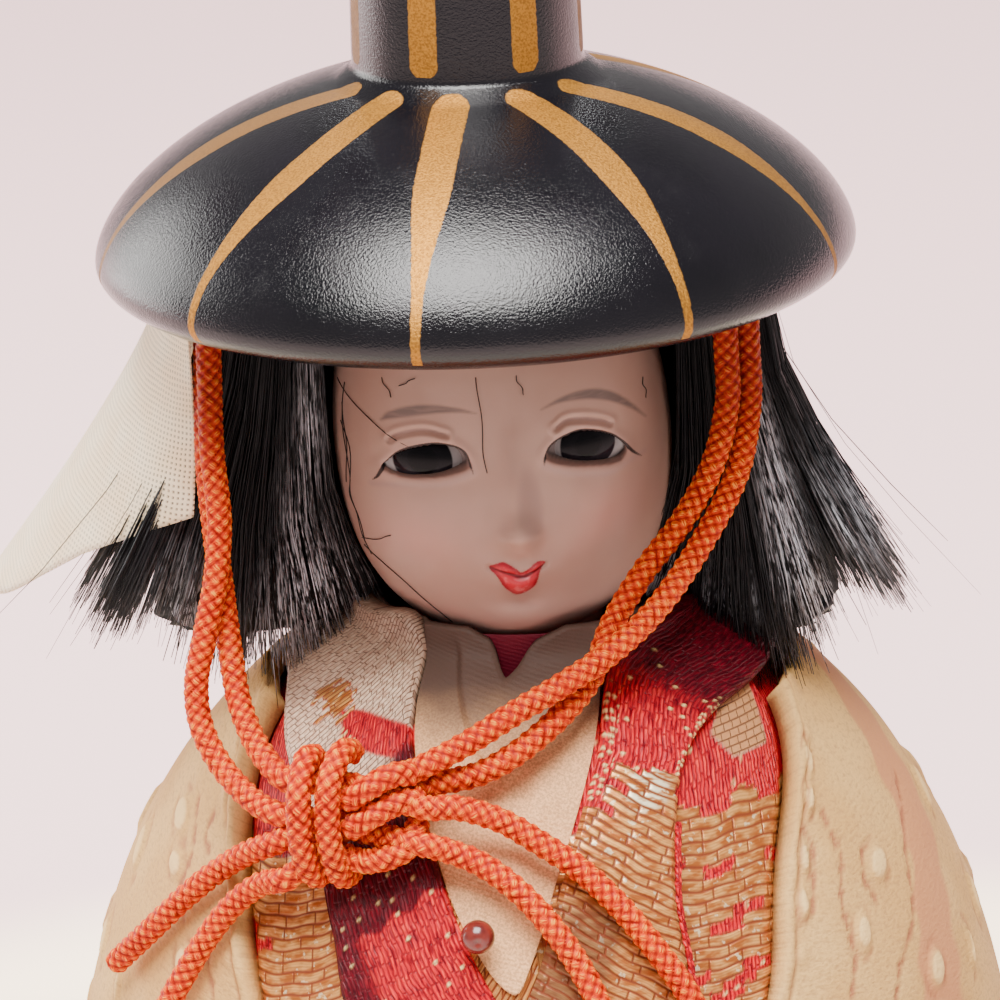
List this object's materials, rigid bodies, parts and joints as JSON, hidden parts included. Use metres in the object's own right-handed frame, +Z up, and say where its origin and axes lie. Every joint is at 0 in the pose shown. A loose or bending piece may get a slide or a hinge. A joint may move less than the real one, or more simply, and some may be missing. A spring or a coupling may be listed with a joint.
{
  "type": "hime daruma doll",
  "caption": "Small egg-shaped doll in brocade robes and a round lacquer travelling hat with a gauze veil and tied cords, on a low lacquer plinth.",
  "frame": {"origin": "middle of the plinth's underside", "axes": "+Z up along the doll, the doll faces -Y, +X towards the right of the front view"},
  "size_m": [0.0628, 0.0577, 0.105],
  "materials": {
    "lacquer": "black lacquer, glossy, with gold brush strokes on the hat",
    "brocade": "red satin woven with gold strip and white thread",
    "cream_brocade": "cream figured silk with raised flowers",
    "white_silk": "plain white habutae silk",
    "red_silk": "dark red silk",
    "bead": "polished reddish brown",
    "face": "smooth shell-white skin finish with painted brows and lips",
    "eye_glass": "dark inset glass",
    "hair": "black silk thread",
    "gauze": "cream gauze, see-through",
    "cord": "orange braided silk"
  },
  "bodies": {
    "root": {"plinth": "lacquer", "brocade_robe": "brocade", "outer_robe": "cream_brocade", "collar_band_right": "brocade", "collar_band_left": "brocade", "under_robe": "white_silk", "red_collar": "red_silk", "bead": "bead", "head": "face", "eye_left": "eye_glass", "eye_right": "eye_glass", "hair": "hair", "hat": "lacquer", "veil": "gauze", "cord_right_inner": "cord", "cord_right_outer": "cord", "cord_left_inner": "cord", "cord_left_outer": "cord", "tail_left_upper": "cord", "tail_left_lower": "cord", "tail_right_upper": "cord", "tail_right_lower": "cord", "cord_knot": "cord"}
  },
  "joints": []
}
